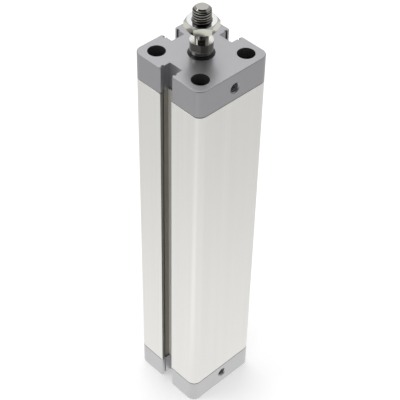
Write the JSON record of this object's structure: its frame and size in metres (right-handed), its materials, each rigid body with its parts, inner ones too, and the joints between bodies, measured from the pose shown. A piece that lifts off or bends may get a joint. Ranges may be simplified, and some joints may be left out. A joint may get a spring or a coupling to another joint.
{
  "type": "compact pneumatic cylinder",
  "caption": "Square compact pneumatic cylinder with slotted profile barrel, end covers with corner mounting threads, round rod with male thread and thin nut.",
  "frame": {"origin": "middle of the rear face, on the rod axis", "axes": "+Z along the rod, out of the front cap; -Y is the side with the supply ports; the sensor slots are on -X, +X and +Y"},
  "size_m": [0.04, 0.04, 0.2215],
  "materials": {
    "anodised_profile": "natural anodised extrusion, satin",
    "cast_cover": "fine blasted and coated casting",
    "rod_steel": "ground and polished stainless steel",
    "nut_steel": "bright zinc plated steel",
    "screw_steel": "plain zinc plated steel",
    "seal_rubber": "moulded seal elastomer",
    "cushion_rubber": "moulded polyurethane",
    "bush_bronze": "sintered bronze",
    "piston_aluminium": "turned",
    "guide_plastic": "wear band compound",
    "magnet_compound": "plastic bonded ferrite"
  },
  "bodies": {
    "cylinder": {"barrel": "anodised_profile", "front_cap": "cast_cover", "rear_cap": "cast_cover", "front_collar_screws": "screw_steel", "rear_collar_screws": "screw_steel", "front_cap_o_ring": "seal_rubber", "rear_cap_o_ring": "seal_rubber", "front_cushion_ring": "cushion_rubber", "rear_cushion_ring": "cushion_rubber", "rod_bush": "bush_bronze", "rod_wiper": "seal_rubber", "rod_seal": "seal_rubber"},
    "piston_seals": {"piston_rear_seal": "seal_rubber", "piston_front_seal": "seal_rubber", "piston_guide_ring": "guide_plastic"},
    "piston_and_rod": {"piston_rod": "rod_steel", "rod_nut": "nut_steel", "piston_rear_half": "piston_aluminium", "piston_front_half": "piston_aluminium", "piston_magnet": "magnet_compound", "piston_o_ring": "seal_rubber", "piston_washer": "screw_steel", "piston_screw": "screw_steel"}
  },
  "joints": [
    {"name": "rod_slide", "type": "slide", "parent": "cylinder", "child": "piston_seals", "axis": [0, 0, 1], "range_m": [0, 0.16]},
    {"name": "rod_turn", "type": "hinge", "parent": "piston_seals", "child": "piston_and_rod", "pos_m": [0, 0, 0.019], "axis": [0, 0, 1], "continuous": true}
  ]
}
